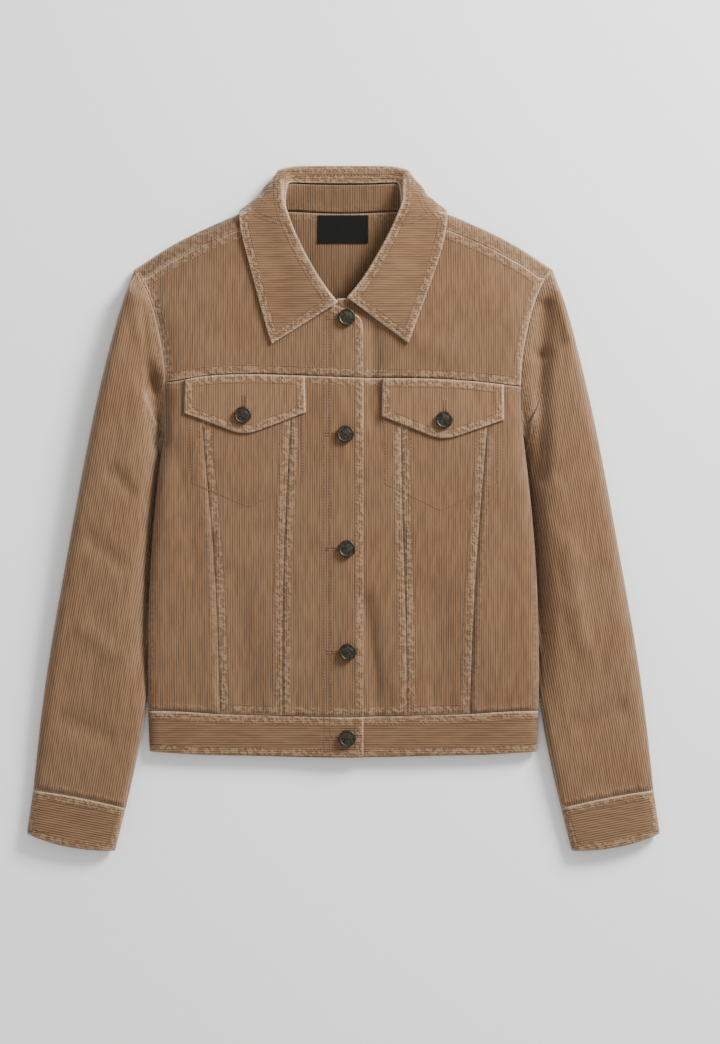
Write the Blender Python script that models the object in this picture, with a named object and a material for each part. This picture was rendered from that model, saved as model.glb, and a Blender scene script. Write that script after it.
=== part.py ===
"""Corduroy trucker jacket, buttoned and laid flat on its back.

+X is the wearer's left, +Y runs from hem to collar and +Z is up from the surface it lies on.
Every cloth piece is a closed wall between an outer grid of points and an inner one. All the numbers
below are in millimetres; MM turns them into metres where a mesh is made. A lowercase a is a distance
from the centre line, the same on both sides of the body.
"""

import math

import bmesh
import bpy
import numpy as np

MM = 0.001

SEAM_GAP = 0.3
CURVED_SEAM_PULL = 0.6
STAND_END_GAP = 1.3
CLOTH = 1.5
FOLDED_CLOTH = 2.0
BAND_CLOTH = 2.6
BAG_CLOTH = 1.0
LABEL_CLOTH = 0.6
LAY_GAP = 0.4
LEAF_GAP = 0.9

UNDERARM_Y = 77.0
TIP = (214.8, 245.1, 5.2)
FRONT_EDGE_X = 20.6
UNDERLAP_EDGE_X = -12.0
OVERLAP_LIFT = 1.9
OVERLAP_START_X = -36.0
OVERLAP_FULL_X = -10.0
SLEEVE_UNDER_BODY = 5.4
NECK_RAISE = 2.6
SHOULDER_START = 70.0

BUTTON_RADIUS = 8.7
BUTTON_HEIGHT = 4.6


def table(names, *rows):
    """A dictionary of named columns, each a numpy array."""
    return dict(zip(names.split(), np.array(rows, float).T))


BODY_EDGE = table(
    "y a roll front back",
    (-256, 198.9, 10, 5.0, 5.0),
    (-208, 200.6, 13, 7.0, 7.0),
    (-165, 200.6, 16, 12.0, 12.0),
    (-70, 198.1, 16, 14.0, 14.0),
    (-10, 193.7, 16, 14.6, 14.6),
    (29, 189.6, 16, 14.8, 14.8),
    (55, 186.6, 16, 14.2, 14.2),
    (77, 183.8, 16, 13.0, 13.0),
    (101, 182.2, 16, 16.5, 6.0),
    (128, 182.0, 16, 19.0, 1.5),
    (150, 183.2, 16, 20.0, 0.4),
    (180, 188.2, 16, 19.0, 0.4),
    (202, 193.6, 14, 17.0, 0.4),
    (218, 199.0, 12, 14.2, 0.4),
    (236, 207.8, 10, 10.5, 0.4),
    (245.1, 214.8, 10, 5.2, 5.2),
)

FRONT_TOP = table(
    "y z", (-256, 11), (-208, 14), (-150, 19), (-50, 23), (50, 25), (130, 24.5), (200, 24), (310, 23)
)

SHOULDER = table(
    "a seam_y top_y z",
    (0, 302.3, 312, 20.5),
    (28, 303.2, 312, 20.5),
    (51.5, 304.5, 312, 20.5),
    (60, 299.0, 311.5, 20.5),
    (67, 295.0, 311, 20.4),
    (76.4, 292.2, 310, 20.2),
    (108, 284.2, 301.2, 19.5),
    (130, 275.5, 292.4, 18.3),
    (150, 266.8, 283.4, 16.8),
    (172, 254.8, 272.2, 14.6),
    (190, 246.0, 261.5, 12.6),
    (207.8, 236.0, 249.5, 10.5),
    (214.8, 236.0, 245.1, 10.5),
)

# How far round the shoulder the back yoke runs, in degrees, against its share of the armhole's width.
YOKE_TURN = table(
    "share degrees",
    (0, -90),
    (0.24, -90),
    (0.28, -62),
    (0.31, -30),
    (0.338, 18),
    (0.35, 52),
    (0.3557, 90),
    (1, 90),
)
NECK_SHARE = 0.3557

BACK_YOKE_SEAM_Y = 150.0
WAIST_SEAM = table("a y", (0, -214.8), (62, -213), (125, -211.5), (182, -208), (201, -208))
HEM = table("a y", (0, -256.3), (20, -256), (100, -254.2), (145, -253.4), (199, -250))

YOKE_SEAM = table(
    "x y",
    (-190, 128.6),
    (-180, 128.6),
    (-141.6, 134.9),
    (-96.2, 136.7),
    (-42.7, 135.2),
    (20, 132.9),
    (61.3, 132.6),
    (106.7, 131.5),
    (152, 127.6),
    (180, 124.4),
    (190, 124.4),
)

# The two long lapped seams of each front, as distances from the centre line.
LONG_SEAMS = table(
    "y inner_r outer_r inner_l outer_l",
    (-216, 62.3, 126.1, 65.5, 129.4),
    (-110, 62.0, 128.9, 64.0, 132.9),
    (-30, 60.0, 133.5, 61.2, 137.9),
    (45, 56.0, 140.6, 59.6, 143.9),
    (90, 54.0, 144.4, 58.6, 147.6),
    (137, 52.5, 148.5, 57.5, 151.5),
)

SLEEVE_OUTER = table(
    "a y",
    (214.8, 245.1),
    (227.3, 211),
    (241, 161),
    (253.4, 110),
    (265.7, 49.5),
    (279.0, -22),
    (290.2, -84),
    (302.3, -152),
    (311.7, -221.5),
    (318.7, -289.5),
)
# The inner fold of the sleeve starts at the underarm and lies under the side of the body to y = -170.
SLEEVE_INNER = table(
    "a y z",
    (183.8, 77, 13.0),
    (188.5, 69, 8.0),
    (189.5, 60, 4.5),
    (182, 49, 2.6),
    (164, 36, 2.4),
    (153, 10, 2.4),
    (158, -48, 2.4),
    (176, -104, 2.4),
    (194, -146, 2.6),
    (201.8, -176, 4.2),
    (202.6, -210, 5.6),
    (208.7, -243, 6.0),
    (216.4, -279, 6.0),
    (223.4, -308, 6.0),
)
CUFF_END = table("share a y", (0, 234.5, -352.1), (0.33, 265, -350.4), (0.66, 297, -344.2), (1, 325.3, -334.3))
CUFF_SEAM_BOW = 2.0
SLEEVE_TOP = table("share z", (0, 21), (0.12, 26), (0.45, 25), (0.7, 21), (0.9, 16.5), (1, 15))
CUFF_TOP_Z = 13.5
SLEEVE_OUTER_Z = table("share z", (0, 5.2), (0.1, 9), (0.6, 9), (1, 6.5))
SLEEVE_ROLL = 15.0

FLAPS = {
    "r": table(
        "x y",
        (-161.3, 130.4),
        (-162.2, 96.8),
        (-100.7, 73.7),
        (-38.1, 97.6),
        (-39.3, 134.0),
    ),
    "l": table(
        "x y",
        (40.1, 131.6),
        (39.3, 93.7),
        (102.0, 68.5),
        (164.1, 89.9),
        (163.6, 126.0),
    ),
}
BAGS = {
    "r": table("x y", (-157.5, 120), (-154.2, 25.8), (-96.6, 1.0), (-41.7, 27.6), (-42.3, 120)),
    "l": table("x y", (42.5, 118), (42.3, 24.9), (100.1, -2.7), (156.6, 24.9), (159.6, 114)),
}

# Fold line and outer edge of the collar leaf from its front end back to the shoulder seam, and the
# neckline under it.
LEAF_FRONT = {
    "r": table(
        "fold_x fold_y edge_x edge_y neck_x neck_y",
        (-5.0, 210.0, -73.4, 167.2, -12.0, 208.6),
        (-13.0, 219.0, -79.5, 187.0, -28.0, 214.0),
        (-25.0, 236.0, -86.6, 212.5, -42.0, 229.0),
        (-38.4, 259.6, -93.6, 239.5, -56.0, 252.0),
        (-50.0, 283.5, -101.4, 268.5, -68.0, 275.0),
        (-57.0, 303.0, -105.6, 286.0, -76.4, 292.2),
    ),
    "l": table(
        "fold_x fold_y edge_x edge_y neck_x neck_y",
        (3.6, 214.8, 66.5, 168.0, 14.0, 215.0),
        (13.0, 225.5, 74.0, 188.0, 29.0, 221.0),
        (24.0, 240.5, 82.6, 211.5, 42.0, 236.0),
        (36.8, 262.9, 92.0, 237.0, 55.0, 256.0),
        (49.0, 285.5, 101.6, 266.5, 68.0, 277.0),
        (57.0, 305.0, 105.6, 286.0, 76.4, 292.2),
    ),
}

# Behind the shoulder seam each row crosses the leaf from its seam with the stand (s), over the fold
# (f) and the silhouette (m), down and under to its edge (e).
LEAF_BACK = table(
    "s_a s_y s_z f_a f_y f_z p_a p_y p_z m_a m_y m_z n_a n_y n_z e_a e_y e_z",
    (59, 310, 21.8, 59.8, 314, 24.4, 73, 310, 24.2, 86, 306, 23.2, 97, 303, 21.8, 106.6, 300.2, 20.2),
    (58.5, 318, 19.5, 61.7, 325, 22.0, 77, 319, 21.0, 91, 312.5, 18.4, 100, 308.8, 14.8, 106.5, 306, 10.0),
    (58, 325, 16.5, 63, 334, 19.0, 79, 326.5, 16.0, 93.5, 316.5, 8.8, 99, 308, 2.8, 101, 297.5, 0.1),
    (57, 331.5, 13, 63.8, 341.5, 15.5, 73, 337, 12.5, 83.5, 329, 6.8, 88.5, 318, 0.9, 89, 293, 0),
    (54.5, 334.5, 9.8, 61.8, 348.2, 10.6, 66.5, 347.4, 8.4, 70.5, 343, 4.6, 71.5, 334, 0.4, 70, 285, 0),
    (47, 334, 8.6, 50, 345, 9.8, 50.8, 351.4, 7.6, 51, 352.2, 4.8, 50, 344, 0.2, 50, 281.5, 0),
    (28, 333.2, 8.3, 29, 345, 9.6, 29, 351.4, 7.6, 29, 352.4, 4.8, 29, 344, 0, 29, 280.5, 0),
)
LEAF_CENTRE = (0, 333, 8.2, 0, 345, 9.5, 0, 351.4, 7.6, 0, 352.5, 4.8, 0, 344, 0, 0, 280, 0)
STAND_SHARES = (0.35, 0.338, 0.318, 0.3, 0.27, 0.22, 0.13)
LEAF_LIP = 1.6
STAND_CLOTH = 1.8
STAND_UNDER_LEAF = 2.6

LABEL_X = (-26.4, 25.4)
LABEL_Y = (272.2, 301.0)

BUTTONS = {
    "button_1": (3.7, 194.5),
    "button_2": (2.4, 75.5),
    "button_3": (3.8, -41.7),
    "button_4": (4.8, -147.1),
    "button_5": (4.2, -235.8),
    "flap_button_r": (-102.3, 94.7),
    "flap_button_l": (103.0, 89.9),
}

CORDUROY = (0.30, 0.17, 0.09)
LIGHT_CORDUROY = (0.36, 0.21, 0.12)
DARK_CORDUROY = (0.24, 0.13, 0.07)
GUNMETAL = (0.09, 0.08, 0.065)
BLACK = (0.012, 0.012, 0.012)


def smooth(t):
    t = np.clip(t, 0.0, 1.0)
    return t * t * (3 - 2 * t)


def ramp(value, start, end):
    return smooth((np.asarray(value, float) - start) / (end - start))


def spline(keys, values, at):
    """Cubic curve through the values at the keys, which rise; the values may be points."""
    keys = np.asarray(keys, float)
    values = np.asarray(values, float)
    at = np.clip(np.asarray(at, float), keys[0], keys[-1])
    slopes = np.gradient(values, keys, axis=0)
    i = np.clip(np.searchsorted(keys, at, side="right") - 1, 0, len(keys) - 2)
    span = keys[i + 1] - keys[i]
    t = (at - keys[i]) / span
    if values.ndim > 1:
        span = span[..., None]
        t = t[..., None]
    start = (1 + 2 * t) * (1 - t) ** 2 * values[i] + t * (1 - t) ** 2 * span * slopes[i]
    end = t * t * (3 - 2 * t) * values[i + 1] + t * t * (t - 1) * span * slopes[i + 1]
    return start + end


def read(source, key, column, at):
    return spline(source[key], source[column], at)


def lengths(points):
    """Distance along a line of points, from 0."""
    steps = np.linalg.norm(np.diff(points, axis=0), axis=1)
    return np.concatenate([[0.0], np.cumsum(steps)])


def through(points, shares):
    """Points on the smooth curve through the given ones, at these shares of its length."""
    points = np.asarray(points, float)
    along = lengths(points)
    fine = spline(along, points, np.linspace(0, along[-1], 30 * len(points)))
    fine_along = lengths(fine)
    at = np.asarray(shares, float) * fine_along[-1]
    return np.stack([np.interp(at, fine_along, fine[:, k]) for k in range(points.shape[1])], axis=1)


def joined(*runs):
    """Runs of points end to end, each but the first without its first point."""
    return np.concatenate([runs[0]] + [run[1:] for run in runs[1:]])


def coons(bottom, top, left, right, shares):
    """The grid that fills four edges. Bottom and top run left to right at these shares; the others run up."""
    u = np.asarray(shares, float)[None, :, None]
    v = np.linspace(0, 1, len(left))[:, None, None]
    across = (1 - v) * bottom[None] + v * top[None]
    up = (1 - u) * left[:, None] + u * right[:, None]
    corners = (1 - v) * ((1 - u) * bottom[0] + u * bottom[-1]) + v * ((1 - u) * top[0] + u * top[-1])
    return across + up - corners


def body_edge(y, column="a"):
    return read(BODY_EDGE, "y", column, y)


def quarter_roll(t, start=0.0):
    """Rises from 0 to 1 as a quarter circle does; start leaves out its steep first part."""
    t = start + (1 - start) * np.clip(t, 0, 1)
    rise = np.sqrt(np.maximum(0, 1 - (1 - t) ** 2))
    first = math.sqrt(1 - (1 - start) ** 2)
    return (rise - first) / (1 - first)


def front_z(x, y):
    """Height of the outer face of the fronts above the surface, without the overlap at the buttons."""
    a = np.abs(x)
    top = read(FRONT_TOP, "y", "z", y)
    seam = read(SHOULDER, "a", "seam_y", a)
    shoulder = ramp(y, seam - SHOULDER_START, seam)
    top = top * (1 - shoulder) + read(SHOULDER, "a", "z", a) * shoulder
    edge = body_edge(y, "front")
    inward = (body_edge(y) - a) / body_edge(y, "roll")
    rolled = np.where(y > UNDERARM_Y + 20, quarter_roll(inward, 0.3), quarter_roll(inward))
    return edge + (top - edge) * rolled


def fronts_z(side, x, y):
    """front_z with the wearer's right front lifted where it laps over the left one."""
    if side == "l":
        return front_z(x, y)
    lift = OVERLAP_LIFT + (BAND_CLOTH - CLOTH) * (1 - ramp(y, -213, -195))
    return front_z(x, y) + lift * ramp(x, OVERLAP_START_X, OVERLAP_FULL_X)


def sleeve_zone(y):
    """Where the underside of the back starts to climb onto the hidden part of the sleeve."""
    inner = spline(-SLEEVE_INNER["y"][5:], SLEEVE_INNER["a"][5:], -np.asarray(y, float))
    return np.minimum(inner - 18, body_edge(y) - 42)


def back_z(x, y):
    """Height of the outer face of the back, which faces down."""
    a = np.abs(x)
    over_sleeve = ramp(a - sleeve_zone(y), 0, 14) * ramp(y, -205, -165) * (1 - ramp(y, 80, 110))
    over_collar = ramp(y, 238, 268) * (1 - ramp(a, 112, 136))
    base = SLEEVE_UNDER_BODY * over_sleeve + NECK_RAISE * over_collar
    edge = body_edge(y, "back")
    return base + (edge - base) * (1 - quarter_roll((body_edge(y) - a) / body_edge(y, "roll")))


def edge_normal(points):
    """Outward direction at the outline of the body, shared by the pieces that meet there.

    It is level along the side seam, points down the body at the underarm and out at the shoulder tip,
    and is vertical along the rest of the armhole."""
    points = np.asarray(points, float)
    y = points[..., 1]
    front = body_edge(y, "front")
    back = body_edge(y, "back")
    half = np.maximum((front - back) / 2, 3.0)
    up = np.clip((points[..., 2] - (front + back) / 2) / half, -1, 1)
    level = np.sqrt(1 - up * up)
    below = ramp(y, UNDERARM_Y - 20, UNDERARM_Y)
    tip = ramp(y, 215, 240)
    across = np.sign(points[..., 0]) * (1 - below + 0.8 * tip)
    along = 0.6 * tip - below * (1 - tip)
    size = np.sqrt(across * across + along * along)
    return np.stack([across / size * level, along / size * level, up], axis=-1)


def normals_of(grid, closed=False):
    """Unit normals of a grid, across its columns and then its rows."""
    rows = np.gradient(grid, axis=0)
    if closed:
        columns = (np.roll(grid, -1, axis=1) - np.roll(grid, 1, axis=1)) / 2
    else:
        columns = np.gradient(grid, axis=1)
    normals = np.cross(columns, rows)
    return normals / np.linalg.norm(normals, axis=2, keepdims=True)


def pulled_in(grid, sides, curved=""):
    """The grid with each named side drawn back by half a seam gap, or more along a curved seam whose
    pieces don't share their points."""
    grid = grid.copy()
    edges = {
        "left": (grid[:, 0], grid[:, 1]),
        "right": (grid[:, -1], grid[:, -2]),
        "bottom": (grid[0], grid[1]),
        "top": (grid[-1], grid[-2]),
    }
    for side in sides.split():
        edge, inner = edges[side]
        step = inner - edge
        pull = CURVED_SEAM_PULL if side == curved else SEAM_GAP / 2
        edge += step / np.linalg.norm(step, axis=1, keepdims=True) * pull
    return grid


def material(name, colour, metallic=0.0, roughness=0.85):
    made = bpy.data.materials.new(name)
    made.use_nodes = True
    shader = made.node_tree.nodes["Principled BSDF"]
    shader.inputs["Base Color"].default_value = (*colour, 1.0)
    shader.inputs["Metallic"].default_value = metallic
    shader.inputs["Roughness"].default_value = roughness
    made.diffuse_color = (*colour, 1.0)
    return made


def add_object(name, points, faces, colour, metallic=0.0, roughness=0.85):
    """A mesh object with outward faces, from points in millimetres."""
    mesh = bpy.data.meshes.new(name)
    mesh.from_pydata([tuple(point) for point in np.asarray(points) * MM], [], faces)
    made = bmesh.new()
    made.from_mesh(mesh)
    bmesh.ops.recalc_face_normals(made, faces=made.faces)
    bmesh.ops.triangulate(made, faces=made.faces)
    made.to_mesh(mesh)
    made.free()
    mesh.shade_smooth()
    mesh.set_sharp_from_angle(angle=math.radians(50))
    obj = bpy.data.objects.new(name, mesh)
    mesh.materials.append(material(name, colour, metallic, roughness))
    bpy.context.scene.collection.objects.link(obj)
    return obj


def wall(name, outer, inner, colour, closed=False):
    """The closed wall between two grids of the same size. A closed grid joins its last column to its first."""
    rows, columns = outer.shape[:2]
    across = columns if closed else columns - 1

    def at(layer, row, column):
        return layer * rows * columns + row * columns + column % columns

    faces = []
    for row in range(rows - 1):
        for column in range(across):
            corners = ((row, column), (row, column + 1), (row + 1, column + 1), (row + 1, column))
            faces.append([at(0, *corner) for corner in corners])
            faces.append([at(1, *corner) for corner in reversed(corners)])
    for row, step in ((0, 1), (rows - 1, -1)):
        for column in range(across):
            rim = [at(0, row, column), at(1, row, column), at(1, row, column + 1), at(0, row, column + 1)]
            faces.append(rim[::step])
    if not closed:
        for column, step in ((0, -1), (columns - 1, 1)):
            for row in range(rows - 1):
                rim = [at(0, row, column), at(1, row, column), at(1, row + 1, column), at(0, row + 1, column)]
                faces.append(rim[::step])
    points = np.concatenate([outer.reshape(-1, 3), inner.reshape(-1, 3)])
    return add_object(name, points, faces, colour)


def lifted(plan, height):
    """Points in plan with their heights."""
    return np.concatenate([plan, height[..., None]], axis=-1)


def turned_up(grid, normals):
    """The normals, all turned to the same side as +Z at the middle of the grid."""
    middle = normals[grid.shape[0] // 2, grid.shape[1] // 2]
    return normals if middle[2] > 0 else -normals


SIDE_ROWS = 8
ROLL_COLUMNS = 5
ARMHOLE_FRONT_ROWS = 3
ARMHOLE_BACK_ROWS = 4
YOKE_ROWS = 9
YOKE_FLAT_ROWS = 5
YOKE_ROLL_ROWS = 4
SHOULDER_SHARES = (1.0, 0.965, 0.92, 0.85, 0.79, 0.72, 0.54, 0.46, NECK_SHARE)
NECK_SHARES = (0.338, 0.31, 0.28, 0.24, 0.13)


def sign_of(side):
    return -1 if side == "r" else 1


def cloth_of(side):
    return CORDUROY if side == "r" else LIGHT_CORDUROY


def yoke_seam_y(x):
    return read(YOKE_SEAM, "x", "y", x)


def waist_y(x):
    return read(WAIST_SEAM, "a", "y", np.abs(x))


def hem_y(x):
    return read(HEM, "a", "y", np.abs(x))


WAIST_SIDE_Y = float(WAIST_SEAM["y"][-1])


def side_rows(top, above):
    """Heights of a lower panel's rows at its outer edge, alike on front and back up to the underarm."""
    below = np.linspace(WAIST_SIDE_Y, UNDERARM_Y, SIDE_ROWS + 1)
    return joined(below, np.linspace(UNDERARM_Y, top, above + 1))


def slanted_grid(rows, low_y, top_y, columns_at, count):
    """Rows that start from these heights at the outer edge and follow the seams below and above.

    columns_at gives the x of each column from the heights of the columns."""
    shares = (rows - rows[0]) / (rows[-1] - rows[0])
    grid = []
    for row, share in zip(rows, shares):
        y = np.full(count, row)
        for _ in range(4):
            x = columns_at(y)
            y = row + (1 - share) * (low_y(x) - rows[0]) + share * (top_y(x) - rows[-1])
        grid.append(np.stack([columns_at(y), y], axis=1))
    return np.array(grid)


def body_wall(name, grid, sides, colour, thickness=CLOTH, up=True, edges="", curved=""):
    """A wall below an outer face, with the outline's shared directions along the named edges."""
    normals = turned_up(grid, normals_of(grid))
    if not up:
        normals = -normals
    if "left" in edges:
        normals[:, 0] = edge_normal(grid[:, 0])
    if "right" in edges:
        normals[:, -1] = edge_normal(grid[:, -1])
    if "top" in edges:
        normals[-1] = (0, 0, 1)
    grid = pulled_in(grid, sides, curved)
    wall(name, grid, grid - normals * thickness, colour)


def front_panels(side):
    sign = sign_of(side)
    edge_x = FRONT_EDGE_X if side == "r" else UNDERLAP_EDGE_X
    centre_shares = np.array([0.0, 0.3, 0.55, 0.7, 0.85, 1.0])
    middle_shares = np.linspace(0, 1, 5)
    roll_shares = 1 - np.sin(np.linspace(0, math.pi / 2, ROLL_COLUMNS + 1))

    def seam_x(which, y):
        return sign * read(LONG_SEAMS, "y", f"{which}_{side}", y)

    def centre_columns(y):
        start = seam_x("inner", y)
        return start + (edge_x - start) * centre_shares

    def middle_columns(y):
        start = seam_x("inner", y)
        return start + (seam_x("outer", y) - start) * middle_shares

    def side_columns(y):
        seam = np.abs(seam_x("outer", y[:1]))
        rolled = body_edge(y[1:]) - body_edge(y[1:], "roll") * roll_shares
        return sign * np.concatenate([seam, rolled])

    rows = side_rows(float(yoke_seam_y(sign * 182)), ARMHOLE_FRONT_ROWS)
    for name, columns_at, count, sides, edges in (
        ("front_centre", centre_columns, 6, "left bottom top", ""),
        ("front_middle", middle_columns, 5, "left right bottom top", ""),
        ("front_side", side_columns, ROLL_COLUMNS + 2, "left right bottom top", "right"),
    ):
        plan = slanted_grid(rows, waist_y, yoke_seam_y, columns_at, count)
        grid = lifted(plan, fronts_z(side, plan[..., 0], plan[..., 1]))
        body_wall(f"{name}_{side}", grid, sides, cloth_of(side), edges=edges, curved="bottom")


def shoulder_point(share):
    """Plan point of the front shoulder seam at a share of the armhole's width."""
    y = read(SHOULDER, "a", "seam_y", np.asarray(share, float) * TIP[0])
    return np.stack([share * body_edge(y), y], axis=-1)


def front_yoke(side):
    sign = sign_of(side)
    mirror = np.array([sign, 1.0])
    shares = np.array(SHOULDER_SHARES)
    across = (1 - shares) / (1 - NECK_SHARE)
    top = shoulder_point(shares) * mirror
    armhole_y = np.linspace(float(yoke_seam_y(sign * 182)), top[0, 1], YOKE_ROWS + 1)
    outer = np.stack([body_edge(armhole_y), armhole_y], axis=1) * mirror
    edge_x = FRONT_EDGE_X if side == "r" else UNDERLAP_EDGE_X
    bottom_x = outer[0, 0] + (edge_x - outer[0, 0]) * across
    bottom = np.stack([bottom_x, yoke_seam_y(bottom_x)], axis=1)
    front = LEAF_FRONT[side]
    neck = np.stack([front["neck_x"], front["neck_y"]], axis=1)
    if side == "r":
        corner = [(edge_x, 165.0), (edge_x, 190.5), (15.5, 197.8)]
    else:
        corner = [(edge_x, 165.0), (edge_x, 206.0), (-6.0, 213.8)]
    inner = joined(bottom[-1:], np.array([bottom[-1], *corner]), np.array([corner[-1], *neck]))
    plan = coons(bottom, top, outer, inner, across)
    grid = lifted(plan, fronts_z(side, plan[..., 0], plan[..., 1]))
    sides = "left right bottom top"
    body_wall(f"front_yoke_{side}", grid, sides, cloth_of(side), edges="left top", curved="bottom")


def back_panel():
    roll = 1 - np.sin(np.linspace(0, math.pi / 2, ROLL_COLUMNS + 1))

    def half(y):
        zone = sleeve_zone(y)
        flat_end = body_edge(y) - body_edge(y, "roll")
        inside = [zone * 0, zone * 0.34, zone * 0.68, zone, zone + 7, zone + 14]
        return np.array([*inside, *[flat_end + body_edge(y, "roll") * (1 - share) for share in roll]])

    count = len(half(0.0))

    def columns_at(y):
        right = np.array([half(height)[i] for i, height in enumerate(y[count - 1 :])])
        left = np.array([half(height)[i] for i, height in enumerate(y[count - 1 :: -1])])
        return np.concatenate([-left[:0:-1], right])

    rows = side_rows(BACK_YOKE_SEAM_Y, ARMHOLE_BACK_ROWS)
    plan = slanted_grid(rows, waist_y, lambda x: np.full(len(x), BACK_YOKE_SEAM_Y), columns_at, 2 * count - 1)
    grid = lifted(plan, back_z(plan[..., 0], plan[..., 1]))
    body_wall("back_panel", grid, "left right bottom top", CORDUROY, up=False, edges="left right")


def yoke_column(share):
    """The back yoke from its seam over the shoulder, at one share of the armhole's width, as rows."""
    a = share * TIP[0]
    turn_y = float(read(SHOULDER, "a", "seam_y", a))
    reach = float(read(SHOULDER, "a", "top_y", a)) - turn_y
    high = float(read(SHOULDER, "a", "z", a))
    turn = math.radians(float(read(YOKE_TURN, "share", "degrees", share)))
    turn = min(max(turn, -math.pi / 2), math.pi / 2)
    flat_y = np.linspace(BACK_YOKE_SEAM_Y, turn_y, 60)
    flat = np.stack([share * body_edge(flat_y), flat_y], axis=1)
    flat = lifted(flat, back_z(flat[:, 0], flat[:, 1]))
    low = flat[-1, 2]
    angles = np.linspace(-math.pi / 2, turn, 40)[1:]
    arc_y = turn_y + reach * np.cos(angles)
    arc_z = (high + low) / 2 + (high - low) / 2 * np.sin(angles)
    arc = np.stack([share * body_edge(arc_y), arc_y, arc_z], axis=1)
    path = flat if turn <= -math.pi / 2 + 1e-6 else np.concatenate([flat, arc])
    along = lengths(path)
    rolled = max(along[-1] - (along[59] if len(along) > 60 else along[-1]), 14.0)
    start = along[-1] - rolled
    at = joined(np.linspace(0, start, YOKE_FLAT_ROWS + 1), np.linspace(start, along[-1], YOKE_ROLL_ROWS + 1))
    return np.stack([np.interp(at, along, path[:, k]) for k in range(3)], axis=1)


def back_yoke():
    shares = np.array([*SHOULDER_SHARES, *NECK_SHARES, 0.0])
    right = np.stack([yoke_column(share) for share in shares[::-1]], axis=1)
    left = right[:, :0:-1] * np.array([-1, 1, 1])
    grid = np.concatenate([left, right], axis=1)
    normals = normals_of(grid)
    normals = normals if normals[1, grid.shape[1] // 2, 2] < 0 else -normals
    normals[:, 0] = edge_normal(grid[:, 0])
    normals[:, -1] = edge_normal(grid[:, -1])
    shoulder = len(SHOULDER_SHARES) - 1
    normals[-1, 1 : shoulder + 1] = (0, 0, 1)
    normals[-1, -shoulder - 1 : -1] = (0, 0, 1)
    grid = pulled_in(grid, "left right bottom top")
    wall("back_yoke", grid, grid - normals * CLOTH, LIGHT_CORDUROY)


def waistband():
    roll = 1 - np.sin(np.linspace(0, math.pi / 2, ROLL_COLUMNS + 1))
    levels = np.linspace(0, 1, 3)
    for side in "rl":
        sign = sign_of(side)
        edge_x = FRONT_EDGE_X if side == "r" else UNDERLAP_EDGE_X
        inside = sign * np.array([80.0, 110.0, 130.0, 150.0, 168.0])
        if side == "r":
            inside = np.concatenate([[edge_x, 5.0, -10.0, -36.0], inside])
        else:
            inside = np.concatenate([[edge_x, 0.0, 20.0, 40.0], inside])
        grid = []
        for level in levels:
            y_side = WAIST_SIDE_Y + (float(hem_y(200)) - WAIST_SIDE_Y) * level
            width = float(body_edge(y_side))
            rolled = width - float(body_edge(y_side, "roll")) * roll
            x = np.concatenate([inside, sign * rolled])
            y = waist_y(x) + (hem_y(x) - waist_y(x)) * level
            grid.append(lifted(np.stack([x, y], axis=1), fronts_z(side, x, y)))
        body_wall(
            f"waistband_{side}", np.array(grid), "right bottom", CORDUROY, BAND_CLOTH, edges="right"
        )
    grid = []
    for level in levels:
        y_side = WAIST_SIDE_Y + (float(hem_y(200)) - WAIST_SIDE_Y) * level
        width = float(body_edge(y_side))
        rolled = width - float(body_edge(y_side, "roll")) * roll
        half = np.concatenate([[0.0, 62.0, 110.0, 130.0, 150.0, 168.0], rolled])
        x = np.concatenate([-half[:0:-1], half])
        y = waist_y(x) + (hem_y(x) - waist_y(x)) * level
        grid.append(lifted(np.stack([x, y], axis=1), back_z(x, y)))
    body_wall(
        "waistband_back", np.array(grid), "left right bottom", CORDUROY, BAND_CLOTH, up=False, edges="left right"
    )


def pointed_plan(corners, columns, rows, inset):
    """Grid of a flap or a bag: two straight sides and a point at the middle of its lower edge."""
    outline = np.stack([corners["x"], corners["y"]], axis=1)
    top_left, low_left, point, low_right, top_right = outline
    shares = np.linspace(0, 1, columns // 2 + 1)[:, None]
    low = joined(low_left + (point - low_left) * shares, point + (low_right - point) * shares)
    top_x = np.linspace(top_left[0], top_right[0], columns + 1)
    if inset:
        top = np.stack([top_x, yoke_seam_y(top_x) - SEAM_GAP], axis=1)
    else:
        top = np.stack([top_x, np.linspace(top_left[1], top_right[1], columns + 1)], axis=1)
    return low[None] + (top - low)[None] * np.linspace(0, 1, rows + 1)[:, None, None]


def pockets(side):
    plan = pointed_plan(FLAPS[side], 6, 3, True)
    base = fronts_z(side, plan[..., 0], plan[..., 1]) + LAY_GAP
    outer = lifted(plan, base + FOLDED_CLOTH)
    wall(f"flap_{side}", outer, lifted(plan, base), LIGHT_CORDUROY)
    plan = pointed_plan(BAGS[side], 6, 4, False)
    top = fronts_z(side, plan[..., 0], plan[..., 1]) - CLOTH - LAY_GAP
    wall(f"pocket_bag_{side}", lifted(plan, top), lifted(plan, top - BAG_CLOTH), DARK_CORDUROY)


def leaf_height(side, x, y, from_fold):
    """Outer face of the leaf where it lies on the fronts: over the stand near the fold, flat beyond."""
    over_stand = (STAND_CLOTH + 0.9) * (1 - ramp(from_fold, 14, 34))
    return fronts_z(side, x, y) + LEAF_GAP + FOLDED_CLOTH + over_stand


LEAF_SHARES = (0.0, 0.02, 0.14, 0.3, 0.48, 0.66, 0.84, 1.0)
LEAF_PATH = (0.0, 0.13, 0.2, 0.25, 0.34, 0.5, 0.75, 1.0)


def row_behind(points):
    """A row of the leaf behind the shoulder, no lower than the surface that the jacket lies on."""
    row = through(points, LEAF_PATH)
    row[:, 2] = np.maximum(row[:, 2], 0.0)
    return row


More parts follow.
